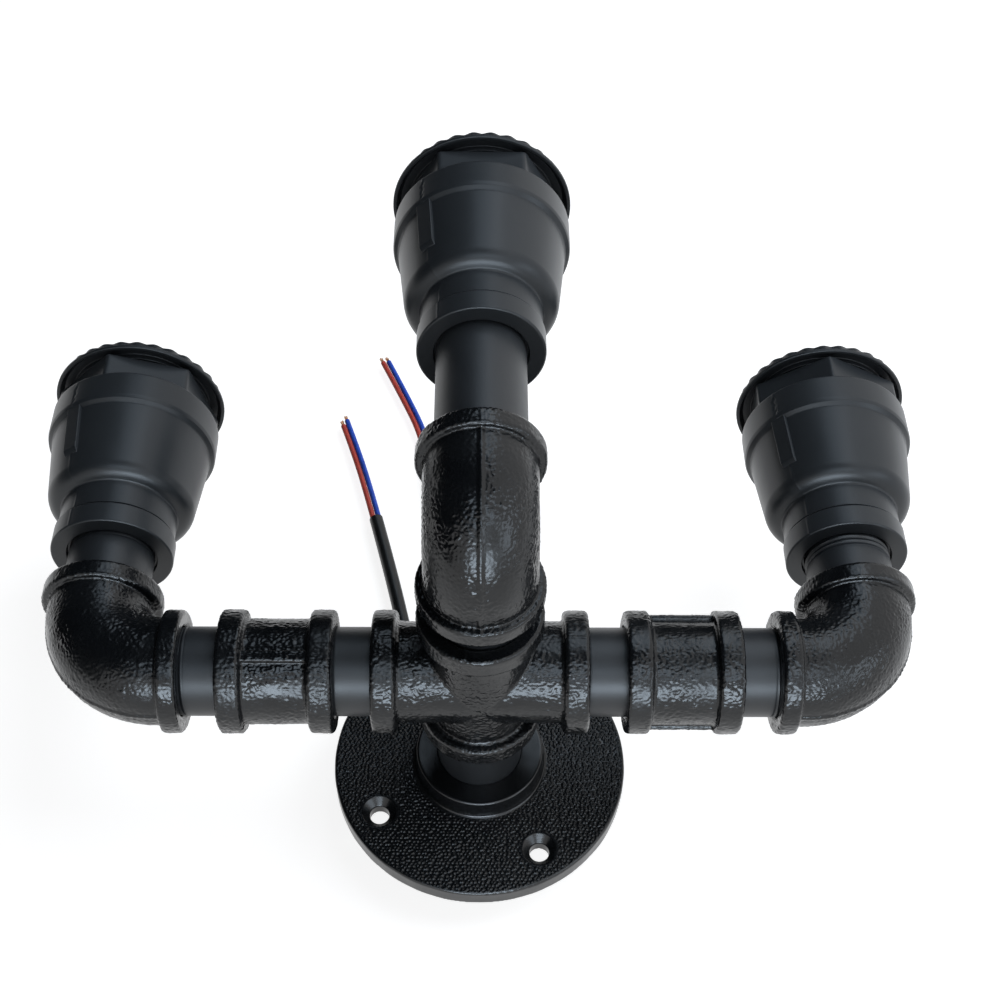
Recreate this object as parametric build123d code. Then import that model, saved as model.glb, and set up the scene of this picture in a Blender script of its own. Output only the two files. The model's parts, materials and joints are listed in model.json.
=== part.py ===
from build123d import *
from math import atan2, cos, hypot, radians, sin, tan
import os

# Industrial pipe wall light: a wall flange, a cross and three arms of 3/4 inch (DN 20) pipe
# fittings, each arm ending in a lamp cup with an E27 lampholder.
# Millimetres. +X is to the right, +Y goes into the wall, +Z is up.
# The origin is the centre of the flange's back face, on the wall.

# ---- pipe and thread -------------------------------------------------------------------------
PIPE_OD = 26.9
PIPE_BORE = 21.6
THREAD_DEPTH = 13.0         # how far a nipple screws into a fitting
SOCKET_RELIEF = 1.0         # room left beyond the nipple's end
SWIVEL_CLEARANCE = 0.05     # radial, on the threads that each lamp is aimed with
PIPE_CHAMFER = 0.8
OVERSHOOT = 1.0             # how far each cutting tool runs past the face that it opens

# ---- cast fittings ---------------------------------------------------------------------------
BEAD_OD = 37.0
BEAD_WIDTH = 7.3            # cross and couplings
BEAD_EDGE = 1.2
BEAD_FLAT = 0.2             # least flat left on a bead's side, between its two radii
CAST_BLEND = 1.2            # radius where a bead meets its body
MOUTH_CHAMFER = 1.0         # countersink of each cast port
CROTCH_BLEND = 1.0          # radius where two arms of the cross meet
CORE_BORE = 22.4            # waterway of the cast fittings
CROSS_REACH = 32.3          # centre to the left, right and front port faces
CROSS_REAR_REACH = 24.0     # centre to the port face on the wall side
CROSS_BODY_OD = 30.4
COUPLING_LENGTH = 34.2
COUPLING_BODY_OD = 31.6
RIB_WIDTH = 3.4
RIB_HEIGHT = 1.5
RIB_EDGE = 0.7
LEFT_RIB_ANGLE = -18.0      # from straight ahead, positive upwards
RIGHT_RIB_ANGLE = 50.0
ELBOW_REACH = 28.6
ELBOW_BEAD_WIDTH = 6.0
ELBOW_BODY_OD = 32.4
ELBOW_BEND_RADIUS = 20.5
SEAM_WIDTH = 1.1
SEAM_HEIGHT = 0.35

# ---- spacing along the pipes: bare pipe that shows between two faces --------------------------
WALL_GAP = 21.2
INNER_GAP = 11.2
OUTER_GAP = 11.2
CENTRE_GAP = 8.0
SIDE_RISER_GAP = 14.2
CENTRE_RISER_GAP = 37.5

# ---- wall flange -----------------------------------------------------------------------------
FLANGE_OD = 95.0
FLANGE_THICKNESS = 6.0
FLANGE_EDGE = 1.0
FLANGE_HEIGHT = 13.3
BOSS_OD = 41.0
BOSS_BASE_OD = 42.0
BOSS_ROOT = 1.2
BOSS_EDGE = 0.8
NIPPLE_SETBACK = 1.5        # the nipple's end stays this far in front of the wall
SCREW_CIRCLE = 74.6
SCREW_COUNT = 4
SCREW_HOLE = 6.2
COUNTERSINK_OD = 11.0
COUNTERSINK_ANGLE = 90.0
SCREW_CIRCLE_TURN = 30.6    # first hole, from straight down towards +X

# ---- lamp cup, heights from the collar's lower face ------------------------------------------
COLLAR_OD = 38.6
COLLAR_TOP = 7.4
COLLAR_EDGE = 0.9
GROOVE_WIDTH = 0.8
GROOVE_DEPTH = 0.9
NECK_OD = 37.0
NECK_TOP = 16.8
NECK_EDGE = 0.4
NECK_BLEND = 0.9
SHOULDER_OD = 46.6
SHOULDER_RISE = 1.3         # of the shoulder's underside, from the neck outwards
SHOULDER_BLEND = 5.4
BOWL_TOP_OD = 52.4
BAND_OD = 55.4
BAND_BOTTOM = 44.5
BAND_TOP = 55.5
BAND_EDGE = 0.9
MOUTH_MARGIN = 0.75         # radial, round the riser where it enters the collar
MOUTH_RECESS = 1.6
CUP_SOCKET_TOP = 14.0
CUP_FLOOR = 17.0
CUP_FLOOR_OD = 31.0
CAVITY_LOW = 22.0
CAVITY_BLEND = 3.0
CAVITY_DRAFT = 0.6          # the cavity widens by this, per side, towards the ledge
LEDGE_HEIGHT = 42.5
CUP_RIB_WIDTH = 5.4
CUP_RIB_STAND = 1.0         # follows the draft of the bowl
CUP_RIB_BOTTOM = 26.2
CUP_RIB_RAMP = 1.4
CUP_TURNS = {"left": -34.0, "centre": -41.5, "right": -47.0}  # first rib, from straight
HEX_TURNS = {"left": -14.0, "centre": 30.0, "right": -2.0}    # ahead, positive towards +X

# ---- hexagonal bush --------------------------------------------------------------------------
BUSH_THREAD_OD = 47.0
HEX_FLATS = 46.8
HEX_HEIGHT = 10.3
HEX_CHAMFER = 0.8
BUSH_BORE_CLEARANCE = 0.15

# ---- lock ring -------------------------------------------------------------------------------
RING_GAP = 0.2              # above the hexagon
RING_HEIGHT = 3.9
RING_LIP_OD = 57.0
RING_LIP_HEIGHT = 1.2
RING_LIP_EDGE = 0.3
RING_CORE_OD = 55.0
RING_BUMPS = 30
RING_BUMP_OD = 5.4
RING_OPENING = 31.2
RING_ROOF = 1.25
RING_END_GAP = 0.25         # between the roof and the lampholder's end
RING_THREAD_CLEARANCE = 0.05

# ---- E27 lampholder --------------------------------------------------------------------------
HOLDER_OD = 39.7
HOLDER_SPACE = 0.95         # radial, between the holder and the cup's cavity
HOLDER_BOTTOM = 24.0
HOLDER_FLANGE_SPACE = 0.5   # radial, inside the bush thread
HOLDER_FLANGE = 3.0
CHAMBER_OD = 30.0
CHAMBER_DEPTH = 8.0
WEB_THICKNESS = 4.0
SHELL_BORE = 26.8           # E27 thread, crest to crest
SHELL_WALL = 0.4
SHELL_HEIGHT = 24.0
SHELL_NECK_BORE = 25.2      # plain part round the centre contact
SHELL_NECK = 5.0
SHELL_BASE_HOLE = 18.0
HOLDER_MOUTH_CHAMFER = 1.0
CONTACT_WIDTH = 6.0
CONTACT_SHEET = 0.5
CONTACT_RISE = 3.6
CONTACT_FIXED_END = -8.0    # along X
CONTACT_BEND = -4.0
CONTACT_TOP_BEND = 1.5
CONTACT_FREE_END = 5.0
RED_SCREW_X = -6.0
BLUE_SCREW_X = 11.0
SCREW_HEAD_OD = 5.5
SCREW_HEAD = 2.2
SCREW_HEAD_EDGE = 0.6
SCREW_SHANK_OD = 3.0

# ---- cables ----------------------------------------------------------------------------------
SHEATH_OD = 5.2
CORE_OD = 2.1
CORE_PITCH = 2.15
CABLE_BEND = 25.0
TIP_OD = 1.2
TIP_LENGTH = 3.0
LEAD_SPACING = 5.7          # between the two cables in the flange nipple
CABLE_END = 10.0            # height in the cup where each sheath is stripped
CORE_SPLAY = 16.5           # height in the cup where the cores part
SPLICE_LENGTH = 16.0
SPLICE_DEPTH = 14.0
SPLICE_HEIGHT = 7.0
SPLICE_MARGIN = 0.3         # below the cable that passes over it
SPLICE_EDGE = 0.8
FEED_DROP_START = 4.0       # in front of the cross's centre
FEED_DROP_END = 22.0

# ---- places worked out from the sizes above --------------------------------------------------
ARM_Y = -(FLANGE_HEIGHT + WALL_GAP + CROSS_REAR_REACH)
COUPLING_X = CROSS_REACH + INNER_GAP
ELBOW_FACE_X = COUPLING_X + COUPLING_LENGTH + OUTER_GAP
SIDE_X = ELBOW_FACE_X + ELBOW_REACH
CENTRE_FACE_Y = ARM_Y - CROSS_REACH - CENTRE_GAP
CENTRE_Y = CENTRE_FACE_Y - ELBOW_REACH
SIDE_CUP_Z = ELBOW_REACH + SIDE_RISER_GAP
CENTRE_CUP_Z = ELBOW_REACH + CENTRE_RISER_GAP
HEX_TOP = BAND_TOP + HEX_HEIGHT
RING_BOTTOM = HEX_TOP + RING_GAP
RING_TOP = RING_BOTTOM + RING_HEIGHT
HOLDER_TOP = RING_TOP - RING_ROOF - RING_END_GAP
WEB_BOTTOM = HOLDER_BOTTOM + CHAMBER_DEPTH
WEB_TOP = WEB_BOTTOM + WEB_THICKNESS
SHOULDER_TOP = NECK_TOP + SHOULDER_RISE
SHELL_NECK_TOP = WEB_TOP + SHELL_NECK
SHELL_TOP = WEB_TOP + SHELL_HEIGHT
SPLICE_TOP = LEAD_SPACING - SHEATH_OD / 2 - SPLICE_MARGIN

# Free supply leads: (x, y, z), from the back of the flange up behind the light.
SIDE_LEAD = [
    (0, 0, 0),
    (0, 4.8, 0),
    (-1.8, 9.6, 2.2),
    (-5.0, 12.4, 6.2),
    (-11.0, 12.8, 15.5),
    (-18.6, 12.6, 33.0),
    (-26.2, 12.4, 58.0),
    (-32.7, 12.1, 87.3),
    (-40.0, 11.8, 115.3),
]
CENTRE_LEAD = [
    (0, 0, LEAD_SPACING),
    (0, 4.8, LEAD_SPACING),
    (-0.2, 9.6, 8.5),
    (-0.9, 12.3, 13.6),
    (-2.6, 12.7, 24.0),
    (-6.4, 12.6, 44.0),
    (-11.6, 12.3, 76.0),
    (-16.4, 12.0, 110.0),
    (-20.4, 11.8, 142.5),
]
SIDE_CORE_ENDS = {"red": (-55.3, 11.8, 163.2), "blue": (-54.0, 11.8, 166.0)}
CENTRE_CORE_ENDS = {"red": (-40.8, 11.8, 198.8), "blue": (-38.5, 11.8, 199.2)}
CORE_STRAIGHT = 14.0        # each free core starts this far along its sheath's line
CORE_BOW = 0.4              # how far it then strays from straight, to the right
CORE_BOW_PLACE = 0.55       # where it strays most, as a share of the way to its end

os.makedirs("parts", exist_ok=True)
nodes = {}


def save(name, shape):
    """Keeps a finished piece under its own name and writes it."""
    shape.label = name
    nodes[name] = shape
    export_step(shape, f"parts/{name}.step")
    return shape


def rod(diameter, low, high):
    """A plain cylinder about +Z, from one height to another."""
    return Pos(0, 0, low) * Cylinder(
        diameter / 2, high - low, align=(Align.CENTER, Align.CENTER, Align.MIN)
    )


def turned(corners, radii=None):
    """A solid turned about +Z from (radius, height) corners, with a radius for each corner."""
    points = [(r, 0, h) for r, h in corners]
    outline = FilletPolyline(*points, radius=radii or [0] * len(points), close=True)
    return revolve(make_face(outline), Axis.Z, 360)


# Ways to lay a piece that is made along +Z.
ALONG_X = Rotation(0, 90, 0)
AWAY_FROM_WALL = Rotation(90, 0, 0)


# ---- pipe ------------------------------------------------------------------------------------
def nipple(gap, depth_a=THREAD_DEPTH, depth_b=THREAD_DEPTH):
    """A pipe nipple along +Z whose bare part runs from 0 to gap."""
    low, high = -depth_a, gap + depth_b
    outer, inner = PIPE_OD / 2, PIPE_BORE / 2
    return turned(
        [
            (inner, low),
            (outer - PIPE_CHAMFER, low),
            (outer, low + PIPE_CHAMFER),
            (outer, high - PIPE_CHAMFER),
            (outer - PIPE_CHAMFER, high),
            (inner, high),
        ]
    )


# ---- cast fittings ---------------------------------------------------------------------------
def bead_radii(body_od):
    """Edge and root radii of a bead, kept within the side that they share."""
    side = (BEAD_OD - body_od) / 2 - BEAD_FLAT
    share = min(1, side / (BEAD_EDGE + CAST_BLEND))
    return BEAD_EDGE * share, CAST_BLEND * share


def beaded_arm(body_od, low, reach, bead_width):
    """A solid arm along +Z with a rounded bead at its far end, blended into the arm."""
    body_r, bead_r = body_od / 2, BEAD_OD / 2
    edge, blend = bead_radii(body_od)
    return turned(
        [
            (0, low),
            (body_r, low),
            (body_r, reach - bead_width),
            (bead_r, reach - bead_width),
            (bead_r, reach),
            (0, reach),
        ],
        [0, 0, blend, edge, edge, 0],
    )


def port_socket(reach, clearance=0.0):
    """The threaded socket of a port at a height along +Z, with its countersink."""
    bore_r = PIPE_OD / 2 + clearance
    low, high = reach - MOUTH_CHAMFER, reach + OVERSHOOT
    return turned(
        [
            (0, reach - THREAD_DEPTH - SOCKET_RELIEF),
            (bore_r, reach - THREAD_DEPTH - SOCKET_RELIEF),
            (bore_r, low),
            (bore_r + high - low, high),
            (0, high),
        ]
    )


def port_bore(reach):
    """The threaded socket and waterway of one arm, along +Z."""
    return port_socket(reach) + rod(CORE_BORE, 0, reach - THREAD_DEPTH)


CROSS_PORTS = {
    "right": (ALONG_X, CROSS_REACH),
    "left": (Rotation(0, -90, 0), CROSS_REACH),
    "front": (AWAY_FROM_WALL, CROSS_REACH),
    "rear": (Rotation(-90, 0, 0), CROSS_REAR_REACH),
}


def cross():
    """The four-way cross, its four ports in one level plane."""
    body = Sphere(CROSS_BODY_OD / 2)
    bores = Sphere(CORE_BORE / 2)
    for turn, reach in CROSS_PORTS.values():
        body += turn * beaded_arm(CROSS_BODY_OD, 0, reach, BEAD_WIDTH)
        bores += turn * port_bore(reach)
    body = fillet(body.edges().filter_by(GeomType.ELLIPSE), CROTCH_BLEND)
    return Pos(0, ARM_Y, 0) * (body - bores)


def coupling(rib_angle):
    """A straight coupling along +X from its inner face, with two ribs."""
    length, body_r, bead_r = COUPLING_LENGTH, COUPLING_BODY_OD / 2, BEAD_OD / 2
    edge, blend = bead_radii(COUPLING_BODY_OD)
    body = turned(
        [
            (0, 0),
            (bead_r, 0),
            (bead_r, BEAD_WIDTH),
            (body_r, BEAD_WIDTH),
            (body_r, length - BEAD_WIDTH),
            (bead_r, length - BEAD_WIDTH),
            (bead_r, length),
            (0, length),
        ],
        [0, edge, edge, blend, blend, edge, edge, 0],
    )
    rib = Box(RIB_WIDTH, 2 * (body_r + RIB_HEIGHT), length - BEAD_WIDTH)
    rib = fillet(rib.edges().filter_by(Axis.Z), RIB_EDGE)
    body += Pos(0, 0, length / 2) * Rotation(0, 0, -rib_angle) * rib
    socket = Rotation(180, 0, 0) * port_socket(0)
    return ALONG_X * (body - rod(CORE_BORE, 0, length) - socket - port_socket(length))


def bend(tube_radius):
    """A solid quarter bend of a fitting, from its +X port to its +Z port."""
    corner = [(ELBOW_REACH, 0, 0), (0, 0, 0), (0, 0, ELBOW_REACH)]
    path = FilletPolyline(*corner, radius=ELBOW_BEND_RADIUS)
    section = Plane(path @ 0, z_dir=path % 0) * Circle(tube_radius)
    return sweep(section, path=path)


def elbow():
    """A beaded elbow with ports towards +X and +Z; its port axes cross at the origin."""
    body = bend(ELBOW_BODY_OD / 2)
    seam_box = Box(4 * ELBOW_REACH, SEAM_WIDTH, 4 * ELBOW_REACH)
    body += bend(ELBOW_BODY_OD / 2 + SEAM_HEIGHT) & seam_box
    for turn in (Rotation(0, 0, 0), ALONG_X):
        bead = rod(BEAD_OD, ELBOW_REACH - ELBOW_BEAD_WIDTH, ELBOW_REACH)
        body += turn * fillet(bead.edges().filter_by(GeomType.CIRCLE), BEAD_EDGE)
    body -= bend(CORE_BORE / 2)
    body -= port_socket(ELBOW_REACH)
    body -= ALONG_X * port_socket(ELBOW_REACH, SWIVEL_CLEARANCE)
    return body


# ---- wall flange -----------------------------------------------------------------------------
def screw_places():
    """Centres of the screw holes, as (x, z)."""
    step = 360 / SCREW_COUNT
    angles = [radians(SCREW_CIRCLE_TURN + step * i) for i in range(SCREW_COUNT)]
    return [(SCREW_CIRCLE / 2 * sin(a), -SCREW_CIRCLE / 2 * cos(a)) for a in angles]


def wall_flange():
    """The wall flange, its back face on the wall."""
    rim, bore = FLANGE_OD / 2, PIPE_OD / 2
    body = turned(
        [
            (bore, 0),
            (rim, 0),
            (rim, FLANGE_THICKNESS),
            (BOSS_BASE_OD / 2, FLANGE_THICKNESS),
            (BOSS_OD / 2, FLANGE_HEIGHT),
            (bore, FLANGE_HEIGHT),
        ],
        [0, 0, FLANGE_EDGE, BOSS_ROOT, BOSS_EDGE, 0],
    )
    sink_depth = (COUNTERSINK_OD - SCREW_HOLE) / 2 / tan(radians(COUNTERSINK_ANGLE / 2))
    for x, z in screw_places():
        hole = rod(SCREW_HOLE, -OVERSHOOT, FLANGE_THICKNESS + OVERSHOOT)
        sink = Cone(
            SCREW_HOLE / 2,
            COUNTERSINK_OD / 2,
            sink_depth,
            align=(Align.CENTER, Align.CENTER, Align.MAX),
        )
        body -= Pos(x, z, 0) * (hole + Pos(0, 0, FLANGE_THICKNESS) * sink)
    return AWAY_FROM_WALL * body


# ---- lamp assembly, along +Z from the collar's lower face ------------------------------------
def shoulder_radii():
    """Inner and outer radii of the shoulder's underside, kept within its length."""
    run = (SHOULDER_OD - NECK_OD) / 2
    half_turn = atan2(run, SHOULDER_RISE) / 2
    needed = (NECK_BLEND + SHOULDER_BLEND) * tan(half_turn)
    share = min(1, hypot(run, SHOULDER_RISE) / needed)
    return NECK_BLEND * share, SHOULDER_BLEND * share


def lamp_cup():
    """The moulded cup: collar, groove, neck, bowl, band and two ribs, the first in front."""
    pipe_r, mouth_r, neck_r = PIPE_OD / 2, PIPE_OD / 2 + MOUTH_MARGIN, NECK_OD / 2
    root, blend = shoulder_radii()
    cavity_r = HOLDER_OD / 2 + HOLDER_SPACE
    outside = [
        (mouth_r, 0, 0),
        (COLLAR_OD / 2, 0, COLLAR_EDGE),
        (COLLAR_OD / 2, COLLAR_TOP, COLLAR_EDGE),
        (neck_r - GROOVE_DEPTH, COLLAR_TOP, 0),
        (neck_r - GROOVE_DEPTH, COLLAR_TOP + GROOVE_WIDTH, 0),
        (neck_r, COLLAR_TOP + GROOVE_WIDTH, NECK_EDGE),
        (neck_r, NECK_TOP, root),
        (SHOULDER_OD / 2, SHOULDER_TOP, blend),
        (BOWL_TOP_OD / 2, BAND_BOTTOM, 0),
        (BAND_OD / 2, BAND_BOTTOM, BAND_EDGE),
        (BAND_OD / 2, BAND_TOP, BAND_EDGE),
    ]
    inside = [
        (BUSH_THREAD_OD / 2, BAND_TOP, 0),
        (BUSH_THREAD_OD / 2, LEDGE_HEIGHT, 0),
        (cavity_r + CAVITY_DRAFT, LEDGE_HEIGHT, 0),
        (cavity_r, CAVITY_LOW, CAVITY_BLEND),
        (CUP_FLOOR_OD / 2, CUP_FLOOR, CAVITY_BLEND),
        (PIPE_BORE / 2, CUP_FLOOR, 0),
        (PIPE_BORE / 2, CUP_SOCKET_TOP, 0),
        (pipe_r, CUP_SOCKET_TOP, 0),
        (pipe_r, MOUTH_RECESS, 0),
        (mouth_r, MOUTH_RECESS, 0),
    ]
    outline = outside + inside
    body = turned([(r, h) for r, h, edge in outline], [edge for r, h, edge in outline])
    for turn in (0, 180):
        body += Rotation(0, 0, turn) * cup_rib()
    return body


def bowl_radius(height):
    """Outer radius of the tapering bowl at a height."""
    slope = (BOWL_TOP_OD - SHOULDER_OD) / 2 / (BAND_BOTTOM - SHOULDER_TOP)
    return SHOULDER_OD / 2 + slope * (height - SHOULDER_TOP)


def cup_rib():
    """A flat rib on the front of the bowl, from the band down to a sloping foot."""
    root = (BUSH_THREAD_OD / 2 + bowl_radius(CUP_RIB_BOTTOM)) / 2
    foot = CUP_RIB_BOTTOM + CUP_RIB_RAMP
    top = BAND_BOTTOM + BAND_EDGE
    side = Polyline(
        (0, -root, CUP_RIB_BOTTOM),
        (0, -bowl_radius(CUP_RIB_BOTTOM), CUP_RIB_BOTTOM),
        (0, -bowl_radius(foot) - CUP_RIB_STAND, foot),
        (0, -bowl_radius(top) - CUP_RIB_STAND, top),
        (0, -root, top),
        close=True,
    )
    return extrude(make_face(side), CUP_RIB_WIDTH / 2, dir=(1, 0, 0), both=True)


def hex_bush():
    """The threaded bush that clamps the lampholder; a corner of its hexagon is in front."""
    corner_radius = HEX_FLATS / 2 / cos(radians(30))
    hexagon = extrude(RegularPolygon(corner_radius, 6), HEX_TOP - BAND_TOP)
    hexagon = chamfer(hexagon.faces().sort_by(Axis.Z)[-1].edges(), HEX_CHAMFER)
    body = Pos(0, 0, BAND_TOP) * Rotation(0, 0, -90) * hexagon
    low = LEDGE_HEIGHT + HOLDER_FLANGE
    body += rod(BUSH_THREAD_OD, low, BAND_TOP)
    return body - rod(HOLDER_OD + 2 * BUSH_BORE_CLEARANCE, low - OVERSHOOT, HEX_TOP + OVERSHOOT)


def lock_ring():
    """The scalloped ring, screwed on the top of the lampholder."""
    low, grip_low = RING_BOTTOM, RING_BOTTOM + RING_LIP_HEIGHT
    lip = rod(RING_LIP_OD, low, grip_low)
    lip = fillet(lip.edges().filter_by(GeomType.CIRCLE), RING_LIP_EDGE)
    bump_circle = (RING_LIP_OD - RING_BUMP_OD) / 2
    bumps = PolarLocations(bump_circle, RING_BUMPS) * Circle(RING_BUMP_OD / 2)
    outline = Circle(RING_CORE_OD / 2) + bumps
    grip = Pos(0, 0, grip_low) * extrude(outline, RING_TOP - grip_low)
    thread = rod(HOLDER_OD + 2 * RING_THREAD_CLEARANCE, low - OVERSHOOT, RING_TOP - RING_ROOF)
    return lip + grip - thread - rod(RING_OPENING, low, RING_TOP + OVERSHOOT)


def lampholder():
    """The insulating E27 body: flange, lamp bore above the web, terminal chamber below it."""
    outer, shell_r = HOLDER_OD / 2, SHELL_BORE / 2 + SHELL_WALL
    flange_r = BUSH_THREAD_OD / 2 - HOLDER_FLANGE_SPACE
    body = turned(
        [
            (CHAMBER_OD / 2, HOLDER_BOTTOM),
            (outer, HOLDER_BOTTOM),
            (outer, LEDGE_HEIGHT),
            (flange_r, LEDGE_HEIGHT),
            (flange_r, LEDGE_HEIGHT + HOLDER_FLANGE),
            (outer, LEDGE_HEIGHT + HOLDER_FLANGE),
            (outer, HOLDER_TOP),
            (shell_r + HOLDER_MOUTH_CHAMFER, HOLDER_TOP),
            (shell_r, HOLDER_TOP - HOLDER_MOUTH_CHAMFER),
            (shell_r, WEB_TOP),
            (0, WEB_TOP),
            (0, WEB_BOTTOM),
            (CHAMBER_OD / 2, WEB_BOTTOM),
        ]
    )
    for x in (RED_SCREW_X, BLUE_SCREW_X):
        body -= Pos(x, 0, 0) * rod(SCREW_SHANK_OD, WEB_BOTTOM - OVERSHOOT, WEB_TOP + OVERSHOOT)
    return body


def screw_shell():
    """The brass screw shell: threaded part, narrower neck, and a base flange on the web."""
    inner, neck = SHELL_BORE / 2, SHELL_NECK_BORE / 2
    return turned(
        [
            (SHELL_BASE_HOLE / 2, WEB_TOP),
            (neck + SHELL_WALL, WEB_TOP),
            (neck + SHELL_WALL, SHELL_NECK_TOP - SHELL_WALL),
            (inner + SHELL_WALL, SHELL_NECK_TOP - SHELL_WALL),
            (inner + SHELL_WALL, SHELL_TOP),
            (inner, SHELL_TOP),
            (inner, SHELL_NECK_TOP),
            (neck, SHELL_NECK_TOP),
            (neck, WEB_TOP + SHELL_WALL),
            (SHELL_BASE_HOLE / 2, WEB_TOP + SHELL_WALL),
        ]
    )


def centre_contact():
    """The sprung brass tongue under the lamp's centre contact."""
    low = [(CONTACT_FIXED_END, 0), (CONTACT_BEND, 0), (CONTACT_TOP_BEND, CONTACT_RISE)]
    low.append((CONTACT_FREE_END, CONTACT_RISE))
    high = [(x, z + CONTACT_SHEET) for x, z in reversed(low)]
    side = Polyline(*[(x, 0, z) for x, z in low + high], close=True)
    strip = extrude(make_face(side), CONTACT_WIDTH / 2, dir=(0, 1, 0), both=True)
    return Pos(0, 0, WEB_TOP) * strip


def terminals():
    """The two terminal screws, heads down in the chamber."""
    screws = []
    for x in (RED_SCREW_X, BLUE_SCREW_X):
        head = rod(SCREW_HEAD_OD, WEB_BOTTOM - SCREW_HEAD, WEB_BOTTOM)
        head = fillet(head.edges().filter_by(GeomType.CIRCLE).sort_by(Axis.Z)[0], SCREW_HEAD_EDGE)
        screws.append(Pos(x, 0, 0) * (head + rod(SCREW_SHANK_OD, WEB_BOTTOM, WEB_TOP)))
    return screws


# ---- cables ----------------------------------------------------------------------------------
def corner_radii(points):
    """The largest even bend at each corner: 0.45 of the shorter run over tan(half turn)."""
    radii = []
    for before, here, after in zip(points, points[1:], points[2:]):
        run_in, run_out = here - before, after - here
        half_turn = radians(run_in.get_angle(run_out)) / 2
        radii.append(0.45 * min(run_in.length, run_out.length) / tan(half_turn))
    return radii


def cord_tube(name, route, diameter, radii=None):
    """A round cord along a route of points, with its bends and volume printed."""
    points = [Vector(*p) for p in route]
    radii = radii or corner_radii(points)
    path = FilletPolyline(*points, radius=radii) if radii else Line(*points)
    section = Plane(path @ 0, z_dir=path % 0) * Circle(diameter / 2)
    tube = sweep(section, path=path)
    plain = section.area * path.length
    bends = ", ".join(f"{r:.1f}" for r in radii)
    print(f"{name}: length {path.length:.1f}, radii {bends}, volume ratio {tube.volume / plain:.5f}")
    return tube


def lamp_cable(name, top):
    """A lamp's cable through its elbow, from the +X port face up to a height."""
    route = [(ELBOW_REACH, 0, 0), (0, 0, 0), (0, 0, top)]
    return cord_tube(name, route, SHEATH_OD, [CABLE_BEND])


def core_route(side, screw_x):
    """Route of one core from the stripped end to its terminal screw."""
    x = side * CORE_PITCH / 2
    return [
        (x, 0, CABLE_END),
        (x, 0, CORE_SPLAY),
        (screw_x, 0, HOLDER_BOTTOM),
        (screw_x, 0, WEB_BOTTOM - SCREW_HEAD),
    ]


def free_core(lead, end, side):
    """Route of one free core from the stripped end of its lead."""
    last, before = Vector(*lead[-1]), Vector(*lead[-2])
    along = (last - before).normalized()
    across = Vector(along.Z, 0, -along.X)
    start = last + across * (side * CORE_PITCH / 2)
    first = start + along * CORE_STRAIGHT
    reach = Vector(*end) - first
    middle = first + reach * CORE_BOW_PLACE + across * CORE_BOW
    return [tuple(start), tuple(first), tuple(middle), tuple(end)]


def tip_after(route):
    """Bare strands that stand out of a core's end."""
    end, before = Vector(*route[-1]), Vector(*route[-2])
    frame = Plane(end, z_dir=(end - before).normalized())
    return extrude(frame * Circle(TIP_OD / 2), TIP_LENGTH)


# ---- assembly: cast frame and pipes ----------------------------------------------------------
save("wall_flange", wall_flange())
save("cross", cross())
save(
    "flange_nipple",
    Pos(0, -FLANGE_HEIGHT, 0)
    * AWAY_FROM_WALL
    * nipple(WALL_GAP, depth_a=FLANGE_HEIGHT - NIPPLE_SETBACK),
)
save(
    "centre_close_nipple",
    Pos(0, ARM_Y - CROSS_REACH, 0) * AWAY_FROM_WALL * nipple(CENTRE_GAP),
)

MIRROR = {"left": True, "right": False}


def on_side(side, shape):
    """A piece made for the right-hand arm, mirrored when it belongs to the left."""
    placed = Pos(0, ARM_Y, 0) * shape
    return mirror(placed, about=Plane.YZ) if MIRROR[side] else placed


RIB_ANGLES = {"left": LEFT_RIB_ANGLE, "right": RIGHT_RIB_ANGLE}
for side in MIRROR:
    save(f"{side}_inner_nipple", on_side(side, Pos(CROSS_REACH, 0, 0) * ALONG_X * nipple(INNER_GAP)))
    save(f"{side}_coupling", on_side(side, Pos(COUPLING_X, 0, 0) * coupling(RIB_ANGLES[side])))
    outer_x = COUPLING_X + COUPLING_LENGTH
    save(f"{side}_outer_nipple", on_side(side, Pos(outer_x, 0, 0) * ALONG_X * nipple(OUTER_GAP)))
    save(f"{side}_elbow", on_side(side, Pos(SIDE_X, 0, 0) * Rotation(0, 0, 180) * elbow()))
save("centre_elbow", Pos(0, CENTRE_Y, 0) * Rotation(0, 0, 90) * elbow())

# ---- assembly: the three lamps ---------------------------------------------------------------
LAMPS = {
    "left": (-SIDE_X, ARM_Y, SIDE_CUP_Z, 0),
    "centre": (0, CENTRE_Y, CENTRE_CUP_Z, 90),
    "right": (SIDE_X, ARM_Y, SIDE_CUP_Z, 180),
}
for name, (x, y, cup_z, port_turn) in LAMPS.items():
    base = Pos(x, y, 0)
    cup_place = Pos(x, y, cup_z)
    riser_gap = cup_z - ELBOW_REACH
    riser = nipple(riser_gap, depth_b=CUP_SOCKET_TOP)
    save(f"{name}_riser", base * Pos(0, 0, ELBOW_REACH) * riser)
    save(f"{name}_lamp_cup", cup_place * Rotation(0, 0, CUP_TURNS[name]) * lamp_cup())
    save(f"{name}_hex_bush", cup_place * Rotation(0, 0, HEX_TURNS[name]) * hex_bush())
    save(f"{name}_lock_ring", cup_place * lock_ring())
    save(f"{name}_lampholder", cup_place * lampholder())
    save(f"{name}_screw_shell", cup_place * screw_shell())
    save(f"{name}_centre_contact", cup_place * centre_contact())
    save(f"{name}_terminals", Compound(children=[cup_place * s for s in terminals()]))
    cable = lamp_cable(f"{name}_lamp_cable", cup_z + CABLE_END)
    save(f"{name}_lamp_cable", base * Rotation(0, 0, port_turn) * cable)
    for colour, side, screw_x in (("red", -1, RED_SCREW_X), ("blue", 1, BLUE_SCREW_X)):
        core = cord_tube(f"{name}_{colour}_core", core_route(side, screw_x), CORE_OD)
        save(f"{name}_{colour}_core", cup_place * core)

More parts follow.
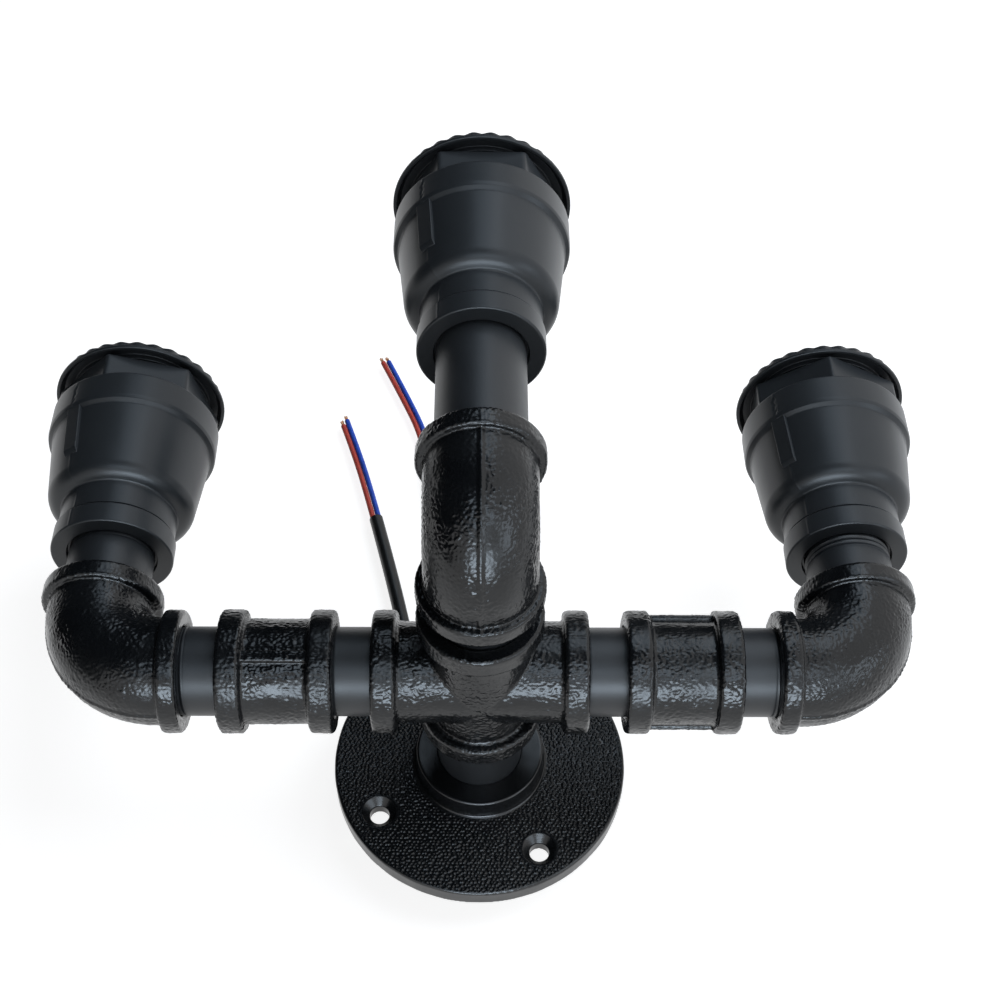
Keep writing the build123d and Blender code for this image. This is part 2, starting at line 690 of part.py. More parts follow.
# ---- assembly: cables inside the arms --------------------------------------------------------
splice = Box(SPLICE_LENGTH, SPLICE_DEPTH, SPLICE_HEIGHT)
splice = Pos(0, ARM_Y, SPLICE_TOP - SPLICE_HEIGHT / 2) * fillet(splice.edges(), SPLICE_EDGE)
save("splice_block", splice)
for side in MIRROR:
    arm_cable = ALONG_X * rod(SHEATH_OD, SPLICE_LENGTH / 2, ELBOW_FACE_X)
    save(f"{side}_arm_cable", on_side(side, arm_cable))
splice_back = ARM_Y + SPLICE_DEPTH / 2
save("side_feed_cable", AWAY_FROM_WALL * rod(SHEATH_OD, 0, -splice_back))
centre_feed = [
    (0, 0, LEAD_SPACING),
    (0, ARM_Y - FEED_DROP_START, LEAD_SPACING),
    (0, ARM_Y - FEED_DROP_END, 0),
    (0, CENTRE_FACE_Y, 0),
]
save("centre_feed_cable", cord_tube("centre_feed_cable", centre_feed, SHEATH_OD))

# ---- assembly: free supply leads -------------------------------------------------------------
LEADS = {"side": (SIDE_LEAD, SIDE_CORE_ENDS), "centre": (CENTRE_LEAD, CENTRE_CORE_ENDS)}
tips = []
for name, (route, ends) in LEADS.items():
    save(f"{name}_lead_sheath", cord_tube(f"{name}_lead_sheath", route, SHEATH_OD))
    for colour, side in (("red", -1), ("blue", 1)):
        core = free_core(route, ends[colour], side)
        save(f"{name}_lead_{colour}", cord_tube(f"{name}_lead_{colour}", core, CORE_OD))
        tips.append(tip_after(core))
save("lead_tips", Compound(children=tips))
print(len(nodes), "nodes")
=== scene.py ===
import json
from math import cos, hypot, pi, radians, sin, tan, tau

import bmesh
import bpy
from mathutils import Matrix, Vector, noise

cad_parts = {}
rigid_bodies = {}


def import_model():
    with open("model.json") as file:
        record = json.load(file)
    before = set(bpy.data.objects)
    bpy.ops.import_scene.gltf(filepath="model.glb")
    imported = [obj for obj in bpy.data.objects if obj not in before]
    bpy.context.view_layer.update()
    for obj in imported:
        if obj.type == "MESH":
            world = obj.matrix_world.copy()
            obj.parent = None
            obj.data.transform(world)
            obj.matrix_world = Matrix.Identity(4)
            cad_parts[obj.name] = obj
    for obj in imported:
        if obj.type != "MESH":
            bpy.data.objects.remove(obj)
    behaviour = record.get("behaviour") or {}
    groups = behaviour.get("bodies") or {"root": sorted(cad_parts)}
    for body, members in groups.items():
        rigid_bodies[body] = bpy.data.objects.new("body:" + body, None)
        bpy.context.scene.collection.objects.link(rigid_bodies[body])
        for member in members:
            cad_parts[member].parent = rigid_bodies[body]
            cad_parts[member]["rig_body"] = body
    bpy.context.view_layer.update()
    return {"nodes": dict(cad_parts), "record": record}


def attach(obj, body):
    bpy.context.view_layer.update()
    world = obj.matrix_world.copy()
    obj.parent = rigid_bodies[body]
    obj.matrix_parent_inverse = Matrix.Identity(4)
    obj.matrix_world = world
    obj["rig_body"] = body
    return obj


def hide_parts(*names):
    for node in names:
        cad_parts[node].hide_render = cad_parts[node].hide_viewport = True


# Industrial pipe wall light, dressed in black paint, cast grain, moulded plastic and cable.
# Sizes are millimetres, written to the meshes in metres; the stage and its lights are in metres.
# +X is to the right, +Y goes into the wall, +Z is up; the flange's back is at Y = 0.

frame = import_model()
nodes = frame["nodes"]
MM = 0.001

# ---- places of the arms and lamps ------------------------------------------------------------
ARM_Y = -58.5               # axis of the side arms
CENTRE_Y = -127.4           # axis of the centre lamp
SIDE_X = 117.5              # axes of the side lamps
ELBOW_REACH = 28.6          # height of the elbows' upper faces above the arms' axes
SIDE_CUP_Z = 42.8           # lower faces of the cups' collars
CENTRE_CUP_Z = 66.1
LAMPS = {
    "left": (-SIDE_X, ARM_Y, SIDE_CUP_Z),
    "centre": (0.0, CENTRE_Y, CENTRE_CUP_Z),
    "right": (SIDE_X, ARM_Y, SIDE_CUP_Z),
}


# ---- small helpers ---------------------------------------------------------------------------
def rgb(red, green, blue):
    """An opaque colour."""
    return (red, green, blue, 1.0)


def within(value, low=0.0, high=1.0):
    """The value, kept between two limits."""
    return min(high, max(low, value))


def wave(phase):
    """A wave from 0 to 1 that is 0 at phase 0."""
    return 0.5 - 0.5 * cos(phase)


def add_object(name, data):
    """A new object in the scene."""
    thing = bpy.data.objects.new(name, data)
    bpy.context.scene.collection.objects.link(thing)
    return thing


def add_node(tree, kind, inputs=(), **options):
    """A new shader node; inputs maps its sockets, by name or number, to values or outputs."""
    node = tree.nodes.new(kind)
    for option, value in options.items():
        setattr(node, option, value)
    for socket, value in dict(inputs).items():
        if isinstance(value, bpy.types.NodeSocket):
            tree.links.new(value, node.inputs[socket])
        else:
            node.inputs[socket].default_value = value
    return node


# ---- camera ----------------------------------------------------------------------------------
CAMERA_PLACE = (-0.519, -455.992, -258.849)
CAMERA_YAW = 0.995          # degrees, to the right
CAMERA_PITCH = 39.357       # upwards
CAMERA_ROLL = -0.403
CAMERA_LENS = 56.11
SENSOR_WIDTH = 36


def make_camera():
    """The camera, in front of the light and below it."""
    yaw, pitch, roll = (radians(a) for a in (CAMERA_YAW, CAMERA_PITCH, CAMERA_ROLL))
    ahead = Vector((sin(yaw) * cos(pitch), cos(yaw) * cos(pitch), sin(pitch)))
    level = Vector((cos(yaw), -sin(yaw), 0))
    above = level.cross(ahead)
    right = level * cos(roll) + above * sin(roll)
    up = above * cos(roll) - level * sin(roll)
    data = bpy.data.cameras.new("camera")
    data.lens = CAMERA_LENS
    data.sensor_width = SENSOR_WIDTH
    data.sensor_fit = "HORIZONTAL"
    data.clip_start = 0.01
    camera = add_object("camera", data)
    turn = Matrix((right, up, -ahead)).transposed().to_4x4()
    camera.matrix_world = Matrix.Translation(Vector(CAMERA_PLACE) * MM) @ turn
    bpy.context.scene.camera = camera


make_camera()
bpy.context.scene.view_settings.view_transform = "Standard"


# ---- materials -------------------------------------------------------------------------------
class Finish:
    """A material whose nodes are added one by one; sizes and heights are millimetres."""

    def __init__(self, name, **settings):
        self.material = bpy.data.materials.new(name)
        self.material.use_nodes = True
        self.tree = self.material.node_tree
        self.shader = self.tree.nodes["Principled BSDF"]
        self.place = add_node(self.tree, "ShaderNodeTexCoord").outputs["Object"]
        for socket, value in settings.items():
            self.shader.inputs[socket.replace("_", " ")].default_value = value

    def noise(self, size, detail, stretch=None):
        """Noise whose features are about size across, from 0 to 1."""
        place = self.place
        if stretch:
            inputs = {0: place, "Scale": stretch}
            place = add_node(self.tree, "ShaderNodeMapping", inputs).outputs[0]
        inputs = {"Vector": place, "Scale": 1 / (size * MM), "Detail": detail}
        return add_node(self.tree, "ShaderNodeTexNoise", inputs).outputs["Fac"]

    def between(self, value, low, high, from_low=0.0, from_high=1.0):
        """Value mapped to a new range, and kept within it."""
        inputs = {0: value, 1: from_low, 2: from_high, 3: low, 4: high}
        return add_node(self.tree, "ShaderNodeMapRange", inputs).outputs[0]

    def mix(self, share, first, second):
        """A colour between two others."""
        inputs = {0: share, 6: first, 7: second}
        return add_node(self.tree, "ShaderNodeMix", inputs, data_type="RGBA").outputs[2]

    def colour(self, output):
        """Gives the surface its colour."""
        self.tree.links.new(output, self.shader.inputs["Base Color"])

    def roughness(self, output):
        """Gives the surface its roughness."""
        self.tree.links.new(output, self.shader.inputs["Roughness"])

    def bump(self, *layers):
        """Stacked bumps; each layer is (output, height)."""
        normal = None
        for output, height in layers:
            inputs = {"Height": output, "Distance": height * MM, "Strength": 1.0}
            if normal is not None:
                inputs["Normal"] = normal
            normal = add_node(self.tree, "ShaderNodeBump", inputs).outputs[0]
        self.tree.links.new(normal, self.shader.inputs["Normal"])


def cast_paint():
    """Semi-gloss black enamel over rough cast iron, with the odd duller patch and dust."""
    f = Finish("cast_paint", Specular_IOR_Level=0.42)
    patches = f.noise(14, 3)
    dust = f.between(f.noise(0.35, 1), 0, 0.3, 0.68, 0.82)
    black = f.mix(patches, rgb(0.0042, 0.005, 0.0062), rgb(0.007, 0.0082, 0.0098))
    f.colour(f.mix(dust, black, rgb(0.03, 0.033, 0.037)))
    f.roughness(f.between(patches, 0.19, 0.31, 0.35, 0.65))
    f.bump((f.noise(0.9, 2), 0.03))
    return f.material


def pipe_paint():
    """Satin black paint on drawn pipe, slightly uneven."""
    f = Finish("pipe_paint", Specular_IOR_Level=0.5)
    patches = f.noise(9, 3)
    f.colour(f.mix(patches, rgb(0.018, 0.0208, 0.0245), rgb(0.0245, 0.028, 0.0325)))
    f.roughness(f.between(patches, 0.38, 0.48))
    f.bump((f.noise(0.45, 2), 0.012), (f.noise(5, 2), 0.03))
    return f.material


def flange_paint():
    """Semi-gloss black paint on the flange, whose pebble grain is in its mesh."""
    f = Finish("flange_paint", Specular_IOR_Level=0.5)
    patches = f.noise(11, 3)
    f.colour(f.mix(patches, rgb(0.004, 0.005, 0.0062), rgb(0.0068, 0.008, 0.0098)))
    f.roughness(f.between(patches, 0.2, 0.3))
    f.bump((f.noise(0.4, 2), 0.01))
    return f.material


def cup_plastic():
    """Black moulded plastic with a fine satin texture and slight sink marks."""
    f = Finish("cup_plastic", Specular_IOR_Level=0.32)
    patches = f.noise(16, 2)
    f.colour(f.mix(patches, rgb(0.026, 0.03, 0.0345), rgb(0.033, 0.0375, 0.0425)))
    f.roughness(f.between(patches, 0.31, 0.38))
    f.bump((f.noise(9, 1), 0.05), (f.noise(0.22, 1), 0.004))
    return f.material


def ring_plastic():
    """Black moulded plastic of the lock rings, a little scuffed."""
    f = Finish("ring_plastic", Specular_IOR_Level=0.35)
    scuffs = f.noise(0.6, 4)
    share = f.between(scuffs, 0, 1, 0.55, 0.8)
    f.colour(f.mix(share, rgb(0.02, 0.0232, 0.027), rgb(0.036, 0.041, 0.047)))
    f.roughness(f.between(scuffs, 0.36, 0.48))
    f.bump((f.noise(0.25, 1), 0.005))
    return f.material


def holder_plastic():
    """Black phenolic of the lampholders, glossy with swirls from the mould."""
    f = Finish("holder_plastic", Specular_IOR_Level=0.5)
    swirls = f.noise(5, 5)
    f.colour(f.mix(swirls, rgb(0.011, 0.011, 0.012), rgb(0.024, 0.023, 0.023)))
    f.roughness(f.between(swirls, 0.2, 0.34))
    f.bump((f.noise(3, 2), 0.01))
    return f.material


def metal(name, light, dark, grain, low, high):
    """Bare metal with a drawn grain and tarnished patches; low and high are its roughness."""
    f = Finish(name, Metallic=1.0)
    tarnish = f.noise(4, 4)
    f.colour(f.mix(f.between(tarnish, 0, 1, 0.4, 0.7), light, dark))
    f.roughness(f.between(f.noise(grain, 3, (1, 1, 8)), low, high))
    f.bump((f.noise(grain, 2, (1, 1, 8)), 0.004))
    return f.material


def cable_sheath():
    """Black flexible PVC, slightly glossy, with faint marks from its cores."""
    f = Finish("cable_sheath", Specular_IOR_Level=0.45)
    patches = f.noise(6, 3)
    f.colour(f.mix(patches, rgb(0.008, 0.0085, 0.009), rgb(0.018, 0.0185, 0.019)))
    f.roughness(f.between(patches, 0.3, 0.42))
    f.bump((f.noise(3.5, 1), 0.06), (f.noise(0.3, 1), 0.004))
    return f.material


def insulation(name, light, dark):
    """Coloured insulation of one core, with a soft sheen and small smudges."""
    f = Finish(name, Specular_IOR_Level=0.45)
    smudges = f.noise(2.5, 3)
    f.colour(f.mix(f.between(smudges, 0, 1, 0.35, 0.75), light, dark))
    f.roughness(f.between(smudges, 0.34, 0.5))
    f.bump((f.noise(0.5, 2), 0.008))
    return f.material


def splice_plastic():
    """Natural nylon of the splice."""
    f = Finish("splice_plastic", Subsurface_Weight=0.1)
    clouds = f.noise(3, 3)
    f.colour(f.mix(clouds, rgb(0.7, 0.69, 0.64), rgb(0.8, 0.79, 0.75)))
    f.roughness(f.between(clouds, 0.38, 0.5))
    f.bump((f.noise(0.5, 2), 0.01))
    return f.material


FINISHES = {
    "cast_paint": cast_paint(),
    "pipe_paint": pipe_paint(),
    "flange_paint": flange_paint(),
    "cup_plastic": cup_plastic(),
    "ring_plastic": ring_plastic(),
    "holder_plastic": holder_plastic(),
    "brass": metal("brass", rgb(0.82, 0.6, 0.27), rgb(0.6, 0.4, 0.16), 0.4, 0.2, 0.36),
    "steel": metal("steel", rgb(0.62, 0.63, 0.64), rgb(0.45, 0.45, 0.44), 0.3, 0.28, 0.42),
    "copper": metal("copper", rgb(0.86, 0.5, 0.3), rgb(0.7, 0.36, 0.2), 0.2, 0.25, 0.4),
    "cable_sheath": cable_sheath(),
    "red_insulation": insulation("red_insulation", rgb(0.74, 0.1, 0.07), rgb(0.58, 0.07, 0.05)),
    "blue_insulation": insulation("blue_insulation", rgb(0.03, 0.12, 0.74), rgb(0.02, 0.08, 0.56)),
    "splice_plastic": splice_plastic(),
}

for part in frame["record"]["subparts"]:
    skin = nodes[part["node"]].data
    skin.materials.clear()
    skin.materials.append(FINISHES[part["material_slot"]])


# ---- pieces ----------------------------------------------------------------------------------
def show(name, data, finish, body, node):
    """Puts a finished mesh or curve, in metres, on its body, in place of a node."""
    data.materials.clear()
    data.materials.append(FINISHES[finish])
    piece = add_object(name, data)
    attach(piece, body)
    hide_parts(node)
    return piece


# ---- meshes ----------------------------------------------------------------------------------
FILLET_STEPS = 6
SHARP_ANGLE = 34            # degrees; a sharper edge is shaded as an edge
UPRIGHT = Matrix.Identity(3)
TO_RIGHT = Matrix.Rotation(pi / 2, 3, "Y")
TO_LEFT = Matrix.Rotation(-pi / 2, 3, "Y")
TO_ROOM = Matrix.Rotation(pi / 2, 3, "X")


def rounded(corners):
    """A closed outline from (radius, height, fillet) corners, each fillet drawn as an arc."""
    outline = []
    for i, (r, z, fillet) in enumerate(corners):
        here = Vector((r, z))
        before = (Vector(corners[i - 1][:2]) - here).normalized()
        after = (Vector(corners[(i + 1) % len(corners)][:2]) - here).normalized()
        if not fillet:
            outline.append(here)
            continue
        half = before.angle(after) / 2
        centre = here + (before + after).normalized() * (fillet / sin(half))
        first = here + before * (fillet / tan(half)) - centre
        last = here + after * (fillet / tan(half)) - centre
        for k in range(FILLET_STEPS + 1):
            outline.append(centre + first.slerp(last, k / FILLET_STEPS) * fillet)
    return outline


def lathe(outline, segments, shape):
    """A mesh of a closed outline turned about Z; shape(angle, radius, height) is its radius."""
    mesh = bpy.data.meshes.new("lathe")
    verts, faces = [], []
    for i in range(segments):
        angle = tau * i / segments
        for r, z in outline:
            reach = shape(angle, r, z)
            verts.append((reach * cos(angle), reach * sin(angle), z))
    count = len(outline)
    for i in range(segments):
        near, far = i * count, (i + 1) % segments * count
        for k in range(count):
            m = (k + 1) % count
            faces.append((near + k, far + k, far + m, near + m))
    mesh.from_pydata(verts, [], faces)
    return mesh


def settle(mesh):
    """Turns the faces outwards, in millimetres still, and shades all but sharp edges smooth."""
    work = bmesh.new()
    work.from_mesh(mesh)
    bmesh.ops.recalc_face_normals(work, faces=work.faces)
    work.to_mesh(mesh)
    work.free()
    mesh.shade_smooth()
    mesh.set_sharp_from_angle(angle=radians(SHARP_ANGLE))


def place(mesh, spot, turn=UPRIGHT):
    """Moves a mesh made along +Z to its place, and into metres."""
    mesh.transform(Matrix.Scale(MM, 4) @ Matrix.Translation(Vector(spot)) @ turn.to_4x4())


def turned(degrees):
    """A turn about a lamp's own axis."""
    return Matrix.Rotation(radians(degrees), 3, "Z")


def even_shading(piece):
    """Lets the large faces set the shading, so that fillets look round and flats look flat."""
    weighted = piece.modifiers.new("weighted", "WEIGHTED_NORMAL")
    weighted.keep_sharp = True


# ---- supply leads ----------------------------------------------------------------------------
SHEATH_OD = 5.2
CORE_OD = 2.1
CORE_PITCH = 2.15           # between the two cores of a lead
CORE_STRAIGHT = 14.0        # each core keeps its sheath's line for this long
CORE_BOW = 0.4              # then bows outwards by this much
CORE_BOW_PLACE = 0.55       # at this share of the rest
SIDE_LEAD = [
    (0, 0, 0),
    (0, 4.8, 0),
    (-1.8, 9.6, 2.2),
    (-5.0, 12.4, 6.2),
    (-11.0, 12.8, 15.5),
    (-18.6, 12.6, 33.0),
    (-26.2, 12.4, 58.0),
    (-32.7, 12.1, 87.3),
    (-40.0, 11.8, 115.3),
]
CENTRE_LEAD = [
    (0, 0, 5.7),
    (0, 4.8, 5.7),
    (-0.2, 9.6, 8.5),
    (-0.9, 12.3, 13.6),
    (-2.6, 12.7, 24.0),
    (-6.4, 12.6, 44.0),
    (-11.6, 12.3, 76.0),
    (-16.4, 12.0, 110.0),
    (-20.4, 11.8, 142.5),
]
SIDE_LENGTHS = {"sheath": 131.1, "red": 50.3, "blue": 52.6}
CENTRE_LENGTHS = {"sheath": 146.3, "red": 60.0, "blue": 60.0}
LEADS = {                   # control points, ends of the red and blue cores, lengths
    "side": (SIDE_LEAD, (-55.3, 11.8, 163.2), (-54.0, 11.8, 166.0), SIDE_LENGTHS),
    "centre": (CENTRE_LEAD, (-40.8, 11.8, 198.8), (-38.5, 11.8, 199.2), CENTRE_LENGTHS),
}
STRAND_LENGTH = 3.0
STRAND_UNEVEN = 0.2         # share of its length that may be missing
STRAND_ROOT = 0.4           # it starts this deep in the core
STRAND_OD = 0.34
STRAND_SPREAD = 0.42        # from the core's axis to a strand's, at its root
STRAND_SPLAY = 0.35         # share that this grows by at the tip
STRAND_TWIST = 0.8          # radians from root to tip
STRAND_COUNT = 9            # one in the middle, the others round it
STRAND_STEPS = 3
CORD_ROUNDNESS, STRAND_ROUNDNESS = 8, 3
CORD_RESOLUTION = 24        # steps drawn between two control points


def cord_curve(name, diameter, roundness):
    """An empty curve that is drawn round and closed at its ends."""
    curve = bpy.data.curves.new(name, "CURVE")
    curve.dimensions = "3D"
    curve.bevel_depth = diameter / 2 * MM
    curve.bevel_resolution = roundness
    curve.use_fill_caps = True
    return curve


def add_line(curve, points):
    """A smooth line in the curve that starts and ends at its first and last control points."""
    line = curve.splines.new("NURBS")
    line.points.add(len(points) - 1)
    for spot, point in zip(points, line.points):
        point.co = (*(Vector(spot) * MM), 1.0)
    line.order_u = 3
    line.use_endpoint_u = True


def spline(name, points, diameter):
    """A round smooth cord through its control points."""
    curve = cord_curve(name, diameter, CORD_ROUNDNESS)
    curve.resolution_u = CORD_RESOLUTION
    add_line(curve, points)
    return curve


def core_route(lead, end, side):
    """Control points of one core from the stripped end of its lead."""
    last, before = Vector(lead[-1]), Vector(lead[-2])
    along = (last - before).normalized()
    across = Vector((along.z, 0, -along.x))
    start = last + across * (side * CORE_PITCH / 2)
    first = start + along * CORE_STRAIGHT
    reach = Vector(end) - first
    middle = first + reach * CORE_BOW_PLACE + across * CORE_BOW
    return [start, first, middle, Vector(end)]


def strands(name, route):
    """The bare strands of a core's end: a loose bundle, splayed at the tip."""
    end, along = route[-1], (route[-1] - route[-2]).normalized()
    aside = along.orthogonal().normalized()
    other = along.cross(aside)
    curve = cord_curve(name, STRAND_OD, STRAND_ROUNDNESS)
    for i in range(STRAND_COUNT):
        ring = STRAND_SPREAD if i else 0.0
        length = STRAND_LENGTH * (1 - STRAND_UNEVEN + STRAND_UNEVEN * noise.random())
        points = []
        for step in range(STRAND_STEPS + 1):
            share = step / STRAND_STEPS
            turn = tau * i / (STRAND_COUNT - 1) + STRAND_TWIST * share
            spread = ring * (1 + STRAND_SPLAY * share)
            centre = end + along * (length * share - STRAND_ROOT)
            points.append(centre + (aside * cos(turn) + other * sin(turn)) * spread)
        add_line(curve, points)
    return show(name, curve, "copper", "frame", "lead_tips")


def make_leads():
    """The two supply leads that leave the back of the flange, with their stripped cores."""
    noise.seed_set(7)
    for name, (lead, red_end, blue_end, lengths) in LEADS.items():
        sheath = spline(f"{name}_lead", lead, SHEATH_OD)
        sheath = show(f"{name}_lead", sheath, "cable_sheath", "frame", f"{name}_lead_sheath")
        for colour, side, end in (("red", -1, red_end), ("blue", 1, blue_end)):
            route = core_route(lead, end, side)
            core = spline(f"{name}_{colour}", route, CORE_OD)
            title, finish = f"{name}_{colour}_core_free", f"{colour}_insulation"
            core = show(title, core, finish, "frame", f"{name}_lead_{colour}")
            tip = strands(f"{name}_{colour}_strands", route)


make_leads()


# ---- castings --------------------------------------------------------------------------------
CAST_VOXEL = 0.34           # facets of the castings' meshes
CAST_SOFTENING = 3          # smoothing passes that run the edges soft
SWELL_SIZE = 7.0            # slow unevenness of the skin
SWELL_HEIGHT = 0.13
PEEL_SIZE = 1.25            # orange peel of the paint, in creased blobs
PEEL_HEIGHT = 0.3
PEEL_FINE = 0.4             # its finer noise, as a share of that height
PEEL_FINENESS = 1.7         # how much finer that noise is
PATCH_SIZE = 11.0           # the peel is rough in some places and weaker in others
PATCH_MIDDLE = 0.72
PATCH_LEAST = 0.3
SEAM_HALF_WIDTH = 0.55      # parting line of the mould
SEAM_HEIGHT = 0.16
SEAM_MIDDLE = 0.75          # share of this height that it has on average
SEAM_UNEVEN = 0.5           # and that comes and goes
SEAM_WAVE = 5.0             # along this length


def baked(mesh, voxel, softening):
    """A copy of a solid's mesh in even small facets, its edges run soft."""
    worker = add_object("worker", mesh)
    remesh = worker.modifiers.new("remesh", "REMESH")
    remesh.mode = "VOXEL"
    remesh.voxel_size = voxel * MM
    smooth = worker.modifiers.new("smooth", "SMOOTH")
    smooth.factor = 0.5
    smooth.iterations = softening
    graph = bpy.context.evaluated_depsgraph_get()
    result = bpy.data.meshes.new_from_object(worker.evaluated_get(graph))
    bpy.data.objects.remove(worker)
    return result


def raised(mesh, height):
    """Moves each vertex out by height(place in mm, its normal), in mm."""
    moves = [height(v.co / MM, v.normal) for v in mesh.vertices]
    normals = [v.normal.copy() for v in mesh.vertices]
    for vertex, outwards, move in zip(mesh.vertices, normals, moves):
        vertex.co += outwards * (move * MM)
    mesh.shade_smooth()


def cast_skin(at, seam_point, seam_normal):
    """Height of a casting's skin: a slow swell, patches of orange peel and the mould's seam."""
    patch = within(PATCH_MIDDLE + noise.noise(at / PATCH_SIZE), PATCH_LEAST)
    peel = abs(noise.noise(at / PEEL_SIZE))
    peel += PEEL_FINE * noise.noise(at / PEEL_SIZE * PEEL_FINENESS)
    height = SWELL_HEIGHT * noise.noise(at / SWELL_SIZE) + PEEL_HEIGHT * patch * peel
    away = abs((at - seam_point).dot(seam_normal))
    if away < SEAM_HALF_WIDTH:
        share = SEAM_MIDDLE + SEAM_UNEVEN * noise.noise(at / SEAM_WAVE)
        height += SEAM_HEIGHT * share * (1 - away / SEAM_HALF_WIDTH)
    return height


def cast(node, seam_point, seam_normal):
    """A casting with soft edges, a seam and an uneven painted skin, in place of its solid."""
    mesh = baked(nodes[node].data, CAST_VOXEL, CAST_SOFTENING)
    point, normal = Vector(seam_point), Vector(seam_normal).normalized()
    raised(mesh, lambda at, outwards: cast_skin(at, point, normal))
    show(f"cast_{node}", mesh, "cast_paint", nodes[node]["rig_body"], node)


def round_arm(angle):
    """Normal of a plane through an arm's axis, turned about it by an angle in degrees."""
    return (0, sin(radians(angle)), cos(radians(angle)))


SEAMS = {                   # a point on each casting's parting plane and the plane's normal
    "cross": ((0, ARM_Y, 0), (0, 0, 1)),
    "left_coupling": ((0, ARM_Y, 0), round_arm(-5.5)),
    "right_coupling": ((0, ARM_Y, 0), round_arm(62)),
    "left_elbow": ((0, ARM_Y, 0), (0, 1, 0)),
    "right_elbow": ((0, ARM_Y, 0), (0, 1, 0)),
    "centre_elbow": ((0, CENTRE_Y, 0), (1, 0, 0)),
}
for node, (point, normal) in SEAMS.items():
    cast(node, point, normal)


# ---- wall flange -----------------------------------------------------------------------------
FLANGE_VOXEL = 0.22
FLANGE_SOFTENING = 2
FLANGE_SWELL_SIZE = 6.0
FLANGE_SWELL_HEIGHT = 0.1
GRAIN_SIZE = 1.25           # between the pebbles of the flange's face
GRAIN_R = 0.6               # of a pebble
GRAIN_HEIGHT = 0.34
GRAIN_JITTER = 0.6          # of the spacing
GRAIN_FADE = 0.5            # the grain rises over this width at its edges
GRAIN_LOW, GRAIN_HIGH = 21.9, 46.9      # radii that the grain fills
GRAIN_Y = -4.5              # the face lies in front of this
GRAIN_FACING = -0.8         # and its normals' Y is under this
HONEYCOMB = 3**0.5 / 2      # between its rows, of the spacing
CELL_MIDDLE = Vector((0.5, 0.5, 0.5))
SCREW_CIRCLE_R = 37.3
SCREW_TURN = 30.6           # degrees, from straight down
SCREW_COUNT = 4
SINK_CLEAR = 6.0            # the grain stops this far from a screw's axis


def screw_places():
    """(x, z) of the screws' axes."""
    turns = [radians(SCREW_TURN + 360 / SCREW_COUNT * k) for k in range(SCREW_COUNT)]
    return [(SCREW_CIRCLE_R * sin(turn), -SCREW_CIRCLE_R * cos(turn)) for turn in turns]


SCREWS = screw_places()


def pebble(x, z):
    """Height from 0 to 1 of the pebble grain: domes on a loose honeycomb."""
    row = round(z / (GRAIN_SIZE * HONEYCOMB))
    nearest = GRAIN_R
    for j in (row - 1, row, row + 1):
        shift = j % 2 / 2
        column = round(x / GRAIN_SIZE - shift)
        for i in (column - 1, column, column + 1):
            stray = noise.cell_vector(Vector((i, j, 0))) - CELL_MIDDLE
            middle_x = (i + shift + GRAIN_JITTER * stray.x) * GRAIN_SIZE
            middle_z = (j + GRAIN_JITTER * stray.y) * GRAIN_SIZE * HONEYCOMB
            nearest = min(nearest, hypot(x - middle_x, z - middle_z))
    return 1 - (nearest / GRAIN_R) ** 2


def flange_skin(at, outwards):
    """Height of the flange's skin: a slow swell, and pebble grain on its face."""
    height = FLANGE_SWELL_HEIGHT * noise.noise(at / FLANGE_SWELL_SIZE)
    radius = hypot(at.x, at.z)
    on_face = outwards.y <= GRAIN_FACING and at.y <= GRAIN_Y
    if not on_face or not GRAIN_LOW < radius < GRAIN_HIGH:
        return height
    edges = [radius - GRAIN_LOW, GRAIN_HIGH - radius]
    edges += [hypot(at.x - x, at.z - z) - SINK_CLEAR for x, z in SCREWS]
    share = within(min(edges) / GRAIN_FADE)
    return height + GRAIN_HEIGHT * share * (pebble(at.x, at.z) - 0.5)


def dress_flange():
    """The wall flange with its pebbled face, its edges run soft by the paint."""
    mesh = baked(nodes["wall_flange"].data, FLANGE_VOXEL, FLANGE_SOFTENING)
    raised(mesh, flange_skin)
    show("cast_wall_flange", mesh, "flange_paint", "frame", "wall_flange")


dress_flange()


# ---- pipe nipples ----------------------------------------------------------------------------
PIPE_OD = 26.9
PIPE_BORE = 21.6
PIPE_SEGMENTS = 160
PIPE_STEP = 0.22            # between the rings of the bare part's mesh
NIPPLE_END = 13.0           # length inside each fitting
NIPPLE_CHAMFER = 0.8
THREAD_PITCH = 1.814
THREAD_HEIGHT = 0.55        # what the paint leaves of it
THREAD_FLANK = 0.7          # lower is a wider groove
WALL_GAP, ARM_GAP, CENTRE_GAP = 21.2, 11.2, 8.0     # bare lengths
BOSS_Y = -13.3              # front of the flange's boss
CROSS_REACH, COUPLING_LENGTH = 32.3, 34.2
CLOSE_Y = ARM_Y - CROSS_REACH
OUTER_X = CROSS_REACH + ARM_GAP + COUPLING_LENGTH
NIPPLES = {                 # foot, turn, bare length, and thread turns that show at either end
    "flange_nipple": ((0, BOSS_Y, 0), TO_ROOM, WALL_GAP, 0.0, 0.0),
    "centre_close_nipple": ((0, CLOSE_Y, 0), TO_ROOM, CENTRE_GAP, 0.6, 0.6),
    "left_inner_nipple": ((-CROSS_REACH, ARM_Y, 0), TO_LEFT, ARM_GAP, 0.0, 0.4),
    "right_inner_nipple": ((CROSS_REACH, ARM_Y, 0), TO_RIGHT, ARM_GAP, 0.3, 0.0),
    "left_outer_nipple": ((-OUTER_X, ARM_Y, 0), TO_LEFT, ARM_GAP, 0.0, 0.9),
    "right_outer_nipple": ((OUTER_X, ARM_Y, 0), TO_RIGHT, ARM_GAP, 0.0, 0.8),
}
RISER_TURNS = {"left": 0.6, "centre": 0.4, "right": 2.4}


